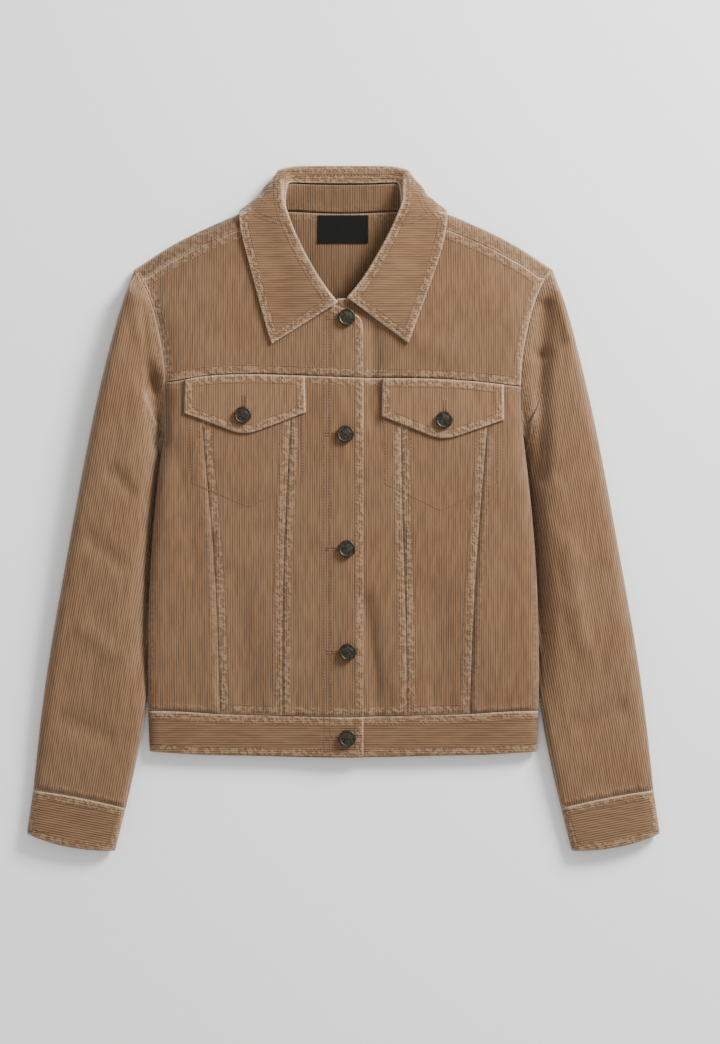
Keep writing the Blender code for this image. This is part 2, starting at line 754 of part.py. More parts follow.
def leaf_rows(side):
    """Rows across the leaf from the front end back to the first row behind the centre."""
    front = LEAF_FRONT[side]
    rows = []
    for i in range(len(front["fold_x"])):
        fold = np.array([front["fold_x"][i], front["fold_y"][i]])
        edge = np.array([front["edge_x"][i], front["edge_y"][i]])
        shares = np.array(LEAF_SHARES)[:, None]
        plan = fold + (edge - fold) * shares
        height = leaf_height(side, plan[:, 0], plan[:, 1], np.linalg.norm(plan - fold, axis=1))
        row = lifted(plan, height)
        row[0, 2] -= LEAF_LIP
        rows.append(row)
    mirror = np.array([sign_of(side), 1, 1])
    for i in range(len(LEAF_BACK["s_a"])):
        values = np.array([column[i] for column in LEAF_BACK.values()]).reshape(-1, 3)
        rows.append(row_behind(values * mirror))
    return rows


def collar_leaf():
    centre = row_behind(np.array(LEAF_CENTRE, float).reshape(-1, 3))
    grid = np.array([*leaf_rows("r"), centre, *leaf_rows("l")[::-1]])
    normals = normals_of(grid)
    middle = normals[3, 4]
    normals = normals if middle[2] > 0 else -normals
    seam = grid[:, 0] - normals[:, 0] * FOLDED_CLOTH / 2
    grid = pulled_in(grid, "left")
    wall("collar_leaf", grid, grid - normals * FOLDED_CLOTH, LIGHT_CORDUROY)
    return seam


def neck_point(share):
    """Middle of the back yoke's wall at its neckline."""
    near = np.stack([yoke_column(share + step)[-2:] for step in (-0.004, 0.004)], axis=1)
    out = np.cross(near[1, 1] - near[1, 0], near[1, 0] - near[0, 0])
    out = out / np.linalg.norm(out)
    if out[2] * (near[1, 0, 2] - 11) < 0:
        out = -out
    return near[1].mean(axis=0) - out * CLOTH / 2


def collar_stand(leaf_seam):
    halves = []
    for side in "rl":
        front = LEAF_FRONT[side]
        mirror = np.array([sign_of(side), 1, 1])
        rows = []
        for i in range(len(front["fold_x"])):
            neck = np.array([front["neck_x"][i], front["neck_y"][i]])
            fold = np.array([front["fold_x"][i], front["fold_y"][i]])
            reach = np.linalg.norm(neck - fold)
            end = fold + (neck - fold) * STAND_UNDER_LEAF / reach
            rows.append((
                np.array([*neck, float(fronts_z(side, *neck)) - CLOTH / 2]),
                np.array([*end, float(fronts_z(side, *end)) - CLOTH / 2 + 0.9]),
            ))
        for i, share in enumerate(STAND_SHARES):
            neck = neck_point(share) * mirror
            row = len(front["fold_x"]) + i
            rows.append((neck, leaf_seam[row if side == "r" else -1 - row]))
        halves.append(rows)
    centre = (neck_point(0.0), leaf_seam[len(leaf_seam) // 2])
    pairs = [*halves[0], centre, *halves[1][::-1]]
    grid = []
    for neck, seam in pairs:
        step = (seam - neck) / np.linalg.norm(seam - neck)
        grid.append([neck + step * STAND_END_GAP, (neck + seam) / 2, seam - step * STAND_END_GAP])
    grid = np.array(grid)
    normals = normals_of(grid)
    outer = grid + normals * STAND_CLOTH / 2
    wall("collar_stand", outer, grid - normals * STAND_CLOTH / 2, CORDUROY)


def label():
    x = np.linspace(*LABEL_X, 3)
    y = np.linspace(*LABEL_Y, 4)
    plan = np.stack(np.meshgrid(x, y), axis=-1)
    low = back_z(plan[..., 0], plan[..., 1]) + CLOTH + LAY_GAP
    wall("label", lifted(plan, low + LABEL_CLOTH), lifted(plan, low), BLACK)


SLEEVE_ROWS = (0, 0.025, 0.048, 0.08, 0.13, 0.21, 0.31, 0.42, 0.53, 0.64, 0.76, 0.88, 1)
HIDDEN_COLUMNS = 3
HIDDEN_TOP_Z = 4.6
SLEEVE_CLEAR = 2.0


def armhole_points():
    """The armhole from underarm to shoulder tip, over the front and under the back, as (a, y, z)."""
    column = yoke_column(1.0)
    half_roll = YOKE_FLAT_ROWS + YOKE_ROLL_ROWS // 2
    return {
        "back": column[: half_roll + 1],
        "shoulder": column[: half_roll - 1 : -1],
    }


def sleeve_crown(share, a, y):
    """Height of the top of the sleeve before its edges are rounded."""
    high = read(SLEEVE_TOP, "share", "z", share)
    hidden = ramp(y, -200, -165) * (1 - ramp(y, 66, 110))
    outside = quarter_roll((a - body_edge(y) - SLEEVE_CLEAR) / 22, 0.12)
    low = HIDDEN_TOP_Z + (high - HIDDEN_TOP_Z) * outside
    return high + hidden * (low - high)


def sleeve_rows(side, upper):
    """Grid of one sleeve panel, from the armhole to the cuff seam."""
    yoke = armhole_points()
    if upper:
        seam_y = float(yoke_seam_y(sign_of(side) * 182))
        above = np.linspace(UNDERARM_Y, seam_y, ARMHOLE_FRONT_ROWS + 1)
        heights = joined(above, np.linspace(seam_y, float(SHOULDER["seam_y"][-1]), YOKE_ROWS + 1))
        armhole = np.stack([body_edge(heights), heights, body_edge(heights, "front")], axis=1)
        armhole = joined(armhole, yoke["shoulder"])
    else:
        heights = np.linspace(UNDERARM_Y, BACK_YOKE_SEAM_Y, ARMHOLE_BACK_ROWS + 1)
        armhole = np.stack([body_edge(heights), heights, body_edge(heights, "back")], axis=1)
        armhole = joined(armhole, yoke["back"])
    columns = len(armhole)
    shares = np.array(SLEEVE_ROWS)
    inner = through(np.stack([SLEEVE_INNER["a"], SLEEVE_INNER["y"], SLEEVE_INNER["z"]], axis=1), shares)
    outer = through(np.stack([SLEEVE_OUTER["a"], SLEEVE_OUTER["y"]], axis=1), shares)
    outer_z = read(SLEEVE_OUTER_Z, "share", "z", shares)
    grid = [armhole]
    for i in range(1, len(shares)):
        low = inner[i, :2]
        step = outer[i] - low
        fine = low + step * np.linspace(0, 1, 401)[:, None]
        covered = fine[:, 0] < body_edge(fine[:, 1]) + SLEEVE_CLEAR
        covered &= (fine[:, 1] < UNDERARM_Y) & (fine[:, 1] > -170)
        crossing = max(np.flatnonzero(covered)[-1] / 400 if covered.any() else 0, 0.06)
        hidden = np.linspace(0, crossing, HIDDEN_COLUMNS + 1)
        seen = np.linspace(0, math.pi / 2, columns - HIDDEN_COLUMNS)
        t = joined(hidden, crossing + (1 - crossing) * np.sin(seen))
        plan = low + step * t[:, None]
        plan[:, 1] -= CUFF_SEAM_BOW * 4 * t * (1 - t) * -ramp(shares[i], 0.9, 1.0)
        width = np.linalg.norm(step)
        under_body = ramp(low[1], -200, -165) * (1 - ramp(low[1], 56, 66))
        rim = inner[i, 2] + (outer_z[i] - inner[i, 2]) * t
        outer_roll = quarter_roll((1 - t) * width / SLEEVE_ROLL)
        inner_roll = quarter_roll(t * width / (12 - 9 * under_body))
        both = outer_roll * inner_roll
        if upper:
            height = rim + (sleeve_crown(shares[i], plan[:, 0], plan[:, 1]) - rim) * both
        else:
            height = rim * (1 - both)
        grid.append(lifted(plan, height))
    return np.array(grid)


def sleeve_edge_normals(grid):
    """Level directions out of the sleeve at its inner and outer seams, for rows below the armhole."""
    across = grid[:, -1, :2] - grid[:, 0, :2]
    across /= np.linalg.norm(across, axis=1, keepdims=True)
    level = np.concatenate([across, np.zeros((len(across), 1))], axis=1)
    return -level, level


def sleeve(side):
    mirror = np.array([sign_of(side), 1, 1])
    ends = []
    for name, upper in (("sleeve_upper", True), ("sleeve_under", False)):
        grid = sleeve_rows(side, upper)
        normals = normals_of(grid)
        wrong_way = (normals[..., 2] > 0) != upper
        normals[wrong_way] *= -1
        inner, outer = sleeve_edge_normals(grid)
        normals[1:, 0] = inner[1:]
        normals[1:, -1] = outer[1:]
        normals[0] = edge_normal(grid[0])
        ends.append(grid[-1])
        grid = pulled_in(grid, "left right bottom top")
        inside = grid - normals * CLOTH
        wall(f"{name}_{side}", grid * mirror, inside * mirror, cloth_of(side))
    cuff(side, ends)


def cuff(side, ends):
    """A closed band from the cuff seam to the cuff's end."""
    mirror = np.array([sign_of(side), 1, 1])
    start = np.concatenate([ends[0], ends[1][-2:0:-1]])
    span = ends[0][-1, :2] - ends[0][0, :2]
    width = np.linalg.norm(span)
    across = (start[:, :2] - ends[0][0, :2]) @ span / width**2
    grid = []
    for level in np.linspace(0, 1, 3):
        end = np.stack([read(CUFF_END, "share", "a", across), read(CUFF_END, "share", "y", across)], axis=1)
        plan = start[:, :2] + (end - start[:, :2]) * level
        scale = 1 + (CUFF_TOP_Z / 15.0 - 1) * level
        grid.append(lifted(plan, start[:, 2] * scale))
    grid = np.array(grid)
    normals = normals_of(grid, closed=True)
    if normals[1, 6, 2] < 0:
        normals = -normals
    grid = pulled_in(grid, "bottom")
    wall(f"cuff_{side}", grid * mirror, (grid - normals * BAND_CLOTH) * mirror, cloth_of(side), closed=True)


BUTTON_PROFILE = table(
    "r z",
    (0.6, 0.0),
    (1.0, 0.4),
    (0.97, 0.8),
    (0.88, 0.95),
    (0.76, 0.86),
    (0.4, 0.98),
)
BUTTON_SIDES = 12


def button(name, x, y, base):
    """A turned metal shank button: a rim round a shallow dome."""
    points = [(0.0, 0.0, 0.0)]
    for share, level in zip(BUTTON_PROFILE["r"], BUTTON_PROFILE["z"]):
        for i in range(BUTTON_SIDES):
            turn = 2 * math.pi * i / BUTTON_SIDES
            radius = BUTTON_RADIUS * share
            points.append((radius * math.cos(turn), radius * math.sin(turn), BUTTON_HEIGHT * level))
    points.append((0.0, 0.0, BUTTON_HEIGHT * 1.02))
    rings = len(BUTTON_PROFILE["r"])
    faces = []
    for i in range(BUTTON_SIDES):
        j = (i + 1) % BUTTON_SIDES
        faces.append([0, 1 + j, 1 + i])
        last = 1 + (rings - 1) * BUTTON_SIDES
        faces.append([len(points) - 1, last + i, last + j])
        for ring in range(rings - 1):
            low = 1 + ring * BUTTON_SIDES
            faces.append([low + i, low + j, low + BUTTON_SIDES + j, low + BUTTON_SIDES + i])
    obj = add_object(name, points, faces, GUNMETAL, metallic=0.9, roughness=0.45)
    obj.location = (x * MM, y * MM, base * MM)


def buttons():
    for name, (x, y) in BUTTONS.items():
        side = "l" if name.endswith("_l") else "r"
        base = float(fronts_z(side, x, y)) + SEAM_GAP
        if name.startswith("flap"):
            base += LAY_GAP + FOLDED_CLOTH
        button(name, x, y, base)


def main():
    for obj in list(bpy.data.objects):
        bpy.data.objects.remove(obj, do_unlink=True)
    back_panel()
    back_yoke()
    waistband()
    for side in "rl":
        front_panels(side)
        front_yoke(side)
        pockets(side)
        sleeve(side)
    collar_stand(collar_leaf())
    label()
    buttons()


main()
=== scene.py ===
"""Looks of the corduroy jacket: fine cloth walls on the CAD panels, folds, ribs, stitches, buttons."""

import math

import bmesh
import bpy
import numpy as np
from mathutils import Matrix, Vector, kdtree
from mathutils.bvhtree import BVHTree


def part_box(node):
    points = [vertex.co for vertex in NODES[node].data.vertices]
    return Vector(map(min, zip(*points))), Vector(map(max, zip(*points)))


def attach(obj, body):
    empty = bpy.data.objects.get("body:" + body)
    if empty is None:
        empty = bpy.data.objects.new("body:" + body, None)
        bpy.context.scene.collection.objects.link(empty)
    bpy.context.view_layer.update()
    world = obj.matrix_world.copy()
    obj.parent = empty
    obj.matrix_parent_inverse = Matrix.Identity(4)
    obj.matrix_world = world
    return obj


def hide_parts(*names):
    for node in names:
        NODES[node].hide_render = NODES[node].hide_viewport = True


MM = 0.001
RIB_PITCH = 2.4
SUBDIVISIONS = 3
RIM_ANGLE = 0.75
WELD_DISTANCE = 1e-6
FLATTEST_QUAD = 0.6
SKEWEST_QUAD = 2.5
STITCH_PITCH = 3.0
STITCH_LENGTH = 2.3
STITCH_RADIUS = 0.32
STITCH_SIDES = 6
STITCH_LIFT = 0.15
# Stitches drop on the cloth from this height and stay only where its normal's z is at least this.
DROP_HEIGHT = 90.0
STEEPEST_STITCH = 0.35
# A stitch this much nearer to another stretch of rim than its row asks for is left out.
ROW_TOLERANCE = 0.9
BUTTONHOLE_PITCH = 0.8
BUTTONHOLE_STITCH = 2.0
BUTTONHOLE_HALF_WIDTH = 1.3
BUTTON_SIDES = 64
# Share of the button's radius and of its height, from its foot over the rim to the top of its dome.
BUTTON_PROFILE = (
    (0.6, 0), (0.97, 0.34), (1.0, 0.55), (0.985, 0.8), (0.93, 0.93), (0.87, 0.95),
    (0.81, 0.87), (0.74, 0.82), (0.6, 0.87), (0.4, 0.95), (0.2, 0.99), (0.02, 1.0),
)
SLEEVE_SLANT = math.radians(11)
RIM_REACH = 30.0

# Colours, in linear red, green and blue. The first three are multiplied by a panel's painted light and shade
# factor.
# GROOVE_SHADE is painted shade: the grooves between the ribs are coloured darker where shade falls.
GROOVE_SHADE = (0.078, 0.041, 0.020)
PILE = (0.188, 0.107, 0.054)
REDDISH_PILE = (0.178, 0.091, 0.044)
WORN_PILE = (0.44, 0.30, 0.19)
METAL_TONES = ((0.030, 0.026, 0.019), (0.075, 0.064, 0.047))
THREAD_TONES = ((0.115, 0.062, 0.032), (0.21, 0.12, 0.066))
LABEL_TONES = ((0.004, 0.004, 0.004), (0.010, 0.010, 0.009))
FLOOR_COLOUR = (0.93, 0.93, 0.925, 1)
# Distances in from the rim, in millimetres, over which the puckered band and the worn edge fade out.
PUCKER_FADE = (6.5, 9.5)
WORN_FADE = (0.6, 2.8)
# Heights that the ribs and the puckers give to the bump, whose full height is in metres.
RIB_BUMP = 0.45
PUCKER_BUMP = 0.9
BUMP_STRENGTH = 0.8
BUMP_DISTANCE = 0.0008

# Middle and height of what the camera sees of the surface, in millimetres, and its height above it.
VIEW_CENTRE = (17.1, -14.4)
VIEW_HEIGHT = 1075.3
CAMERA_HEIGHT = 2800.0

# The stage, in metres and watts.
FLOOR_SIZE = 12
FLOOR_DROP = 0.0006
SKY_STRENGTH = 0.82
WINDOW_PLACE = (1.7, 1.6, 1.25)
WINDOW_SIZE = 0.9
WINDOW_POWER = 165

# Rows of stitches on each kind of panel, as distances in from its rim.
STITCH_ROWS = {
    "front_yoke": (8.5,),
    "front_middle": (9.5,),
    "flap": (8.5,),
    "collar_leaf": (5.0, 9.0),
    "waistband": (8.5,),
    "cuff": (8.0,),
}
# Straight rows down the front edges: place across, and height of the upper end.
FACING_ROWS = ((-19.4, 205), (-13.2, 205), (12.5, 190))
FACING_FOOT = -248
# How strongly the rim of each kind of panel is worn pale and puckered.
RIM_WEAR = {
    "front_yoke": 0.8,
    "front_middle": 0.8,
    "front_centre": 0.8,
    "front_side": 0.3,
    "flap": 1.0,
    "collar_leaf": 1.0,
    "waistband": 0.9,
    "cuff": 0.9,
    "sleeve_upper": 0.35,
    "back_yoke": 0.5,
    "back_panel": 0.3,
}
PLAIN_WEAR = 0.15
# Painted light and shade on each kind of cloth, as a factor on the corduroy's own colour: lighter on the
# flaps, upper sleeves and collar leaf that lie on top in the light, darker on the under sleeves, back yoke,
# collar stand and pocket bags that lie lower, in shade.
PAINTED_LIGHT_SHADE = {
    "flap": 1.15,
    "sleeve_upper": 1.06,
    "collar_leaf": 1.05,
    "sleeve_under": 0.95,
    "back_yoke": 0.85,
    "collar_stand": 0.8,
    "pocket_bag": 0.8,
}

# Folds: a line in plan, how wide it is and how high it stands; a negative height is a trough.
FOLDS = [
    dict(zip("x0 y0 x1 y1 width height".split(), row))
    for row in (
        (-212, 224, -199, 152, 9, 3.0),
        (-206, 205, -196, 120, 6, -2.5),
        (-196, 132, -189, 66, 9, -5.0),
        (225, 224, 233, 173, 9, 2.6),
        (207, 208, 203, 156, 8, -3.6),
        (203, 156, 202, 30, 8, -4.4),
        (230, -36, 245, -141, 10, 2.2),
        (-238, 40, -215, 12, 7, -2.0),
        (-262, -30, -222, -62, 8, -1.8),
        (-270, -120, -235, -150, 8, 1.7),
        (-290, -215, -240, -236, 9, -1.8),
        (258, 62, 222, 30, 8, -1.8),
        (266, -60, 236, -92, 8, -1.6),
        (288, -205, 240, -226, 9, -1.9),
        (23, -95, 36, -212, 8, -2.4),
        (32, 183, 31, 84, 7, -2.2),
        (-40, -60, -58, -190, 14, 1.2),
        (90, -80, 104, -200, 16, -1.3),
        (-110, -70, -96, -196, 15, -1.4),
        (150, -20, 140, -150, 14, 1.2),
        (-170, 60, -150, -60, 12, -1.2),
        (60, 180, 120, 150, 14, 1.0),
        (-60, 210, -130, 168, 14, -1.1),
    )
]
# Short gathers just above the waistband, at uneven places and of uneven reach.
GATHERS = [
    dict(zip("x reach height".split(), row))
    for row in (
        (-150, 26, -0.9), (-131, 18, 0.7), (-104, 34, -1.1), (-78, 20, 0.8), (-49, 28, -0.8), (46, 30, -1.0),
        (71, 17, 0.6), (92, 36, -1.1), (119, 22, 0.8), (144, 30, -0.9), (168, 20, -0.7),
    )
]
GATHER_WIDTH = 4.0
WAIST_Y = -209.0
# Every fold and gather stands this much stronger than its table says.
FOLD_SCALE = 1.6

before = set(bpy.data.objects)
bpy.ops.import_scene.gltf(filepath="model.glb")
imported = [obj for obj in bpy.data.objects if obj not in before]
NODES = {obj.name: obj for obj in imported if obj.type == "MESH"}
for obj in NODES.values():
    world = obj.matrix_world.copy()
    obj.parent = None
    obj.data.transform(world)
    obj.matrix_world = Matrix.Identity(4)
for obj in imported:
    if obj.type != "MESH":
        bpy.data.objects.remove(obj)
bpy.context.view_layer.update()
CLOTH_KINDS = (
    "back_panel", "back_yoke", "front_yoke", "front_centre", "front_middle", "front_side", "waistband",
    "flap", "pocket_bag", "collar_leaf", "collar_stand", "sleeve_upper", "sleeve_under", "cuff",
)


def kind_of(name):
    """The kind of cloth panel that a node is, or nothing for a button or the label."""
    if "button" in name:
        return ""
    return next((kind for kind in CLOTH_KINDS if name.startswith(kind)), "")


def smooth(t):
    """A smooth rise from 0 to 1 as t does so."""
    t = np.clip(t, 0, 1)
    return t * t * (3 - 2 * t)


def fold_height(x, y):
    """How far the folds lift the upper layers at a point in plan, in millimetres."""
    height = 0.5 * np.sin(x / 23 + 1.3 * np.sin(y / 47)) * np.sin(y / 31 + x / 90)
    for fold in FOLDS:
        dx, dy = fold["x1"] - fold["x0"], fold["y1"] - fold["y0"]
        along = ((x - fold["x0"]) * dx + (y - fold["y0"]) * dy) / (dx * dx + dy * dy)
        near = np.clip(along, 0, 1)
        off = np.hypot(x - fold["x0"] - near * dx, y - fold["y0"] - near * dy)
        taper = smooth((along + 0.25) * 3) * smooth((1.25 - along) * 3)
        height += FOLD_SCALE * fold["height"] * taper * np.exp(-((off / fold["width"]) ** 2))
    for gather in GATHERS:
        rise = (y - WAIST_Y) / gather["reach"]
        near = np.exp(-(((x - gather["x"]) / GATHER_WIDTH) ** 2))
        height += FOLD_SCALE * gather["height"] * near * smooth(rise * 4) * smooth(1.3 - rise)
    return height


def principled(name, roughness):
    material = bpy.data.materials.new(name)
    material.use_nodes = True
    shader = material.node_tree.nodes["Principled BSDF"]
    shader.inputs["Roughness"].default_value = roughness
    return material, material.node_tree, shader


def add(tree, kind, **settings):
    node = tree.nodes.new(kind)
    for name, value in settings.items():
        setattr(node, name, value)
    return node


def connect(tree, source, target):
    tree.links.new(source, target)


def math_node(tree, operation, *values):
    """A Math node; each value is a socket or a number."""
    node = add(tree, "ShaderNodeMath", operation=operation)
    for socket, value in zip(node.inputs, values):
        if isinstance(value, (int, float)):
            socket.default_value = value
        else:
            connect(tree, value, socket)
    return node.outputs[0]


def mapped(tree, value, low, high):
    """A smooth rise from 0 at low to 1 at high."""
    node = add(tree, "ShaderNodeMapRange", interpolation_type="SMOOTHSTEP")
    connect(tree, value, node.inputs["Value"])
    node.inputs["From Min"].default_value = low
    node.inputs["From Max"].default_value = high
    return node.outputs["Result"]


def mixed(tree, factor, first, second):
    node = add(tree, "ShaderNodeMix", data_type="RGBA")
    connect(tree, factor, node.inputs[0])
    for socket, value in ((node.inputs[6], first), (node.inputs[7], second)):
        if isinstance(value, tuple):
            socket.default_value = (*value, 1)
        else:
            connect(tree, value, socket)
    return node.outputs[2]


def noise(tree, scale, stretch=(1, 1, 1), detail=3.0):
    coordinates = add(tree, "ShaderNodeTexCoord")
    mapping = add(tree, "ShaderNodeMapping")
    mapping.inputs["Scale"].default_value = stretch
    texture = add(tree, "ShaderNodeTexNoise")
    texture.inputs["Scale"].default_value = scale
    texture.inputs["Detail"].default_value = detail
    connect(tree, coordinates.outputs["Object"], mapping.inputs["Vector"])
    connect(tree, mapping.outputs["Vector"], texture.inputs["Vector"])
    return texture.outputs["Fac"]


def corduroy(name, light_shade_factor, wear, along_y):
    """Ribbed pile: ribs across the across_mm attribute with painted shade in their grooves, made lighter or
    darker as a whole by the panel's painted light and shade factor, pale and puckered near the rim.
    """
    material, tree, shader = principled(name, 0.92)
    shader.inputs["Sheen Weight"].default_value = 0.25
    shader.inputs["Sheen Roughness"].default_value = 0.5
    shader.inputs["Specular IOR Level"].default_value = 0.15
    across = add(tree, "ShaderNodeAttribute", attribute_name="across_mm").outputs["Fac"]
    rim = add(tree, "ShaderNodeAttribute", attribute_name="rim_mm").outputs["Fac"]
    wave = math_node(tree, "SINE", math_node(tree, "MULTIPLY", across, 2 * math.pi / RIB_PITCH))
    rib = math_node(tree, "MULTIPLY_ADD", wave, 0.5, 0.5)
    stretch = (9, 1, 3) if along_y else (1, 9, 3)
    streak = mapped(tree, noise(tree, 42, stretch), 0.32, 0.7)
    mottle = mapped(tree, noise(tree, 13), 0.35, 0.68)
    pucker = mapped(tree, noise(tree, 230, detail=1.0), 0.42, 0.6)
    # The panel's factor is painted light and shade: it lightens or darkens all of the panel's colours.
    painted_groove_shade, mid, reddish = (tuple(light_shade_factor * c for c in tone) for tone in (GROOVE_SHADE, PILE, REDDISH_PILE))
    cloth = mixed(tree, mottle, mid, reddish)
    # Painted shade: the grooves between the ribs get the darker colour, the rib tops the lighter one.
    colour = mixed(tree, rib, painted_groove_shade, cloth)
    colour = mixed(tree, math_node(tree, "MULTIPLY", streak, 0.30), colour, tuple(1.45 * c for c in mid))
    band = math_node(tree, "SUBTRACT", 1.0, mapped(tree, rim, *PUCKER_FADE))
    ladder = math_node(tree, "MULTIPLY", band, pucker)
    colour = mixed(tree, math_node(tree, "MULTIPLY", ladder, 0.27 * wear), colour, WORN_PILE)
    worn = math_node(tree, "SUBTRACT", 1.0, mapped(tree, rim, *WORN_FADE))
    colour = mixed(tree, math_node(tree, "MULTIPLY", worn, 0.75 * wear), colour, WORN_PILE)
    connect(tree, colour, shader.inputs["Base Color"])
    rib_height = math_node(tree, "MULTIPLY", rib, RIB_BUMP)
    pucker_height = math_node(tree, "MULTIPLY", ladder, PUCKER_BUMP * wear)
    height = math_node(tree, "ADD", rib_height, pucker_height)
    bump = add(tree, "ShaderNodeBump")
    bump.inputs["Strength"].default_value = BUMP_STRENGTH
    bump.inputs["Distance"].default_value = BUMP_DISTANCE
    connect(tree, height, bump.inputs["Height"])
    connect(tree, bump.outputs["Normal"], shader.inputs["Normal"])
    return material


def gunmetal():
    """Dark, slightly worn metal of the buttons."""
    material, tree, shader = principled("gunmetal", 0.42)
    shader.inputs["Metallic"].default_value = 0.9
    spots = mapped(tree, noise(tree, 420), 0.35, 0.7)
    connect(tree, mixed(tree, spots, *METAL_TONES), shader.inputs["Base Color"])
    return material


def thread():
    """Brown sewing thread."""
    material, tree, shader = principled("thread", 0.8)
    tone = mapped(tree, noise(tree, 300), 0.35, 0.65)
    connect(tree, mixed(tree, tone, *THREAD_TONES), shader.inputs["Base Color"])
    return material


def woven_black():
    """Black woven tape of the neck label."""
    material, tree, shader = principled("woven_black", 0.75)
    shader.inputs["Specular IOR Level"].default_value = 0.08
    weave = mapped(tree, noise(tree, 900, (1, 5, 1)), 0.3, 0.7)
    connect(tree, mixed(tree, weave, *LABEL_TONES), shader.inputs["Base Color"])
    return material


def fine_mesh(node):
    """The CAD wall as quads, subdivided smoothly with its rims kept sharp."""
    made = bmesh.new()
    made.from_mesh(NODES[node].data)
    bmesh.ops.remove_doubles(made, verts=made.verts, dist=WELD_DISTANCE)
    bmesh.ops.join_triangles(
        made, faces=made.faces, angle_face_threshold=FLATTEST_QUAD, angle_shape_threshold=SKEWEST_QUAD
    )
    crease = made.edges.layers.float.new("crease_edge")
    for edge in made.edges:
        if len(edge.link_faces) == 2 and edge.calc_face_angle() > RIM_ANGLE:
            edge[crease] = 1.0
    mesh = bpy.data.meshes.new(node + "_cloth")
    made.to_mesh(mesh)
    made.free()
    piece = placed(node + "_cloth", mesh)
    modifier = piece.modifiers.new("fine", "SUBSURF")
    modifier.levels = modifier.render_levels = SUBDIVISIONS
    graph = bpy.context.evaluated_depsgraph_get()
    fine = bpy.data.meshes.new_from_object(piece.evaluated_get(graph))
    piece.modifiers.clear()
    piece.data = fine
    return piece


def placed(name, data):
    """A new object in the scene."""
    made = bpy.data.objects.new(name, data)
    bpy.context.scene.collection.objects.link(made)
    return made


def positions(mesh):
    """The mesh's points, in millimetres."""
    points = np.empty(len(mesh.vertices) * 3)
    mesh.vertices.foreach_get("co", points)
    return points.reshape(-1, 3) / MM


def rim_edges(mesh):
    """(middle, direction, inward direction, length) of each rim edge of the face that looks up."""
    made = bmesh.new()
    made.from_mesh(mesh)
    found = []
    for edge in made.edges:
        if len(edge.link_faces) != 2 or edge.calc_face_angle() < RIM_ANGLE:
            continue
        face = max(edge.link_faces, key=lambda one: one.normal.z)
        if face.normal.z < 0.3:
            continue
        start, end = (vertex.co / MM for vertex in edge.verts)
        along = (end - start).normalized()
        middle = (start + end) / 2
        inward = face.calc_center_median() / MM - middle
        inward = (inward - along * inward.dot(along)).normalized()
        found.append((middle, along, inward, (end - start).length))
    made.free()
    return found


def set_attribute(mesh, name, values):
    layer = mesh.attributes.new(name, "FLOAT", "POINT")
    layer.data.foreach_set("value", values.astype(np.float32))


def across_ribs(kind, points, side):
    """Distance across the ribs of a panel."""
    x, y = points[:, 0], points[:, 1]
    slant = SLEEVE_SLANT * side
    if kind.startswith("sleeve"):
        return x * math.cos(slant) + y * math.sin(slant)
    if kind == "cuff":
        return y * math.cos(slant) - x * math.sin(slant)
    if kind in ("waistband", "collar_leaf"):
        return y
    return x


def tree_of(places):
    tree = kdtree.KDTree(max(len(places), 1))
    for i, place in enumerate(places):
        tree.insert(place, i)
    if not places:
        tree.insert(Vector((0, 0, 1000)), 0)
    tree.balance()
    return tree


def cloth_piece(node):
    """A fine, folded and ribbed wall that stands for one CAD panel, and its rim edges."""
    kind = kind_of(node)
    side = -1 if node.endswith("_r") else 1
    piece = fine_mesh(node)
    mesh = piece.data
    rims = rim_edges(mesh)
    near = tree_of([rim[0] for rim in rims])
    points = positions(mesh)
    distance = np.array([min(near.find(point)[2], RIM_REACH) for point in points])
    set_attribute(mesh, "rim_mm", distance)
    set_attribute(mesh, "across_mm", across_ribs(kind, points, side))
    points[:, 2] = raised(points)
    mesh.vertices.foreach_set("co", (points * MM).ravel())
    mesh.shade_smooth()
    mesh.set_sharp_from_angle(angle=math.radians(60))
    along_y = kind not in ("waistband", "cuff", "collar_leaf")
    mesh.materials.clear()
    # The panel's colour factor (PAINTED_LIGHT_SHADE) is painted light and shade.
    mesh.materials.append(corduroy(node, PAINTED_LIGHT_SHADE.get(kind, 1.0), RIM_WEAR.get(kind, PLAIN_WEAR), along_y))
    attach(piece, "root")
    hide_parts(node)
    return piece, rims


def raised(points):
    """Heights with the folds, which leave the underside and what lies on the surface as they are."""
    lift = smooth((points[:, 2] - 4) / 9)
    return points[:, 2] + lift * fold_height(points[:, 0], points[:, 1])


def surface_of(pieces):
    """One ray-cast tree of the pieces' faces, in millimetres."""
    points, faces, start = [], [], 0
    for piece in pieces:
        placed = positions(piece.data)
        points += [tuple(point) for point in placed]
        faces += [[start + i for i in polygon.vertices] for polygon in piece.data.polygons]
        start += len(placed)
    return BVHTree.FromPolygons(points, faces)


def stitch_mesh(places):
    """All stitches as one mesh of short six-sided threads with pinched ends."""
    made = bmesh.new()
    for middle, along, length in places:
        side = along.cross(Vector((0, 0, 1))).normalized()
        up = side.cross(along)
        rings = []
        for share, radius in ((-0.5, 0.35), (-0.25, 1.0), (0.25, 1.0), (0.5, 0.35)):
            ring = []
            for i in range(STITCH_SIDES):
                turn = 2 * math.pi * i / STITCH_SIDES
                out = side * math.cos(turn) + up * math.sin(turn)
                place = middle + along * share * length + out * radius * STITCH_RADIUS
                ring.append(made.verts.new(place * MM))
            rings.append(ring)
        for first, second in zip(rings, rings[1:]):
            for i in range(STITCH_SIDES):
                j = (i + 1) % STITCH_SIDES
                made.faces.new((first[i], first[j], second[j], second[i]))
        made.faces.new(rings[0][::-1])
        made.faces.new(rings[-1])
    mesh = bpy.data.meshes.new("stitches")
    made.to_mesh(mesh)
    made.free()
    return mesh


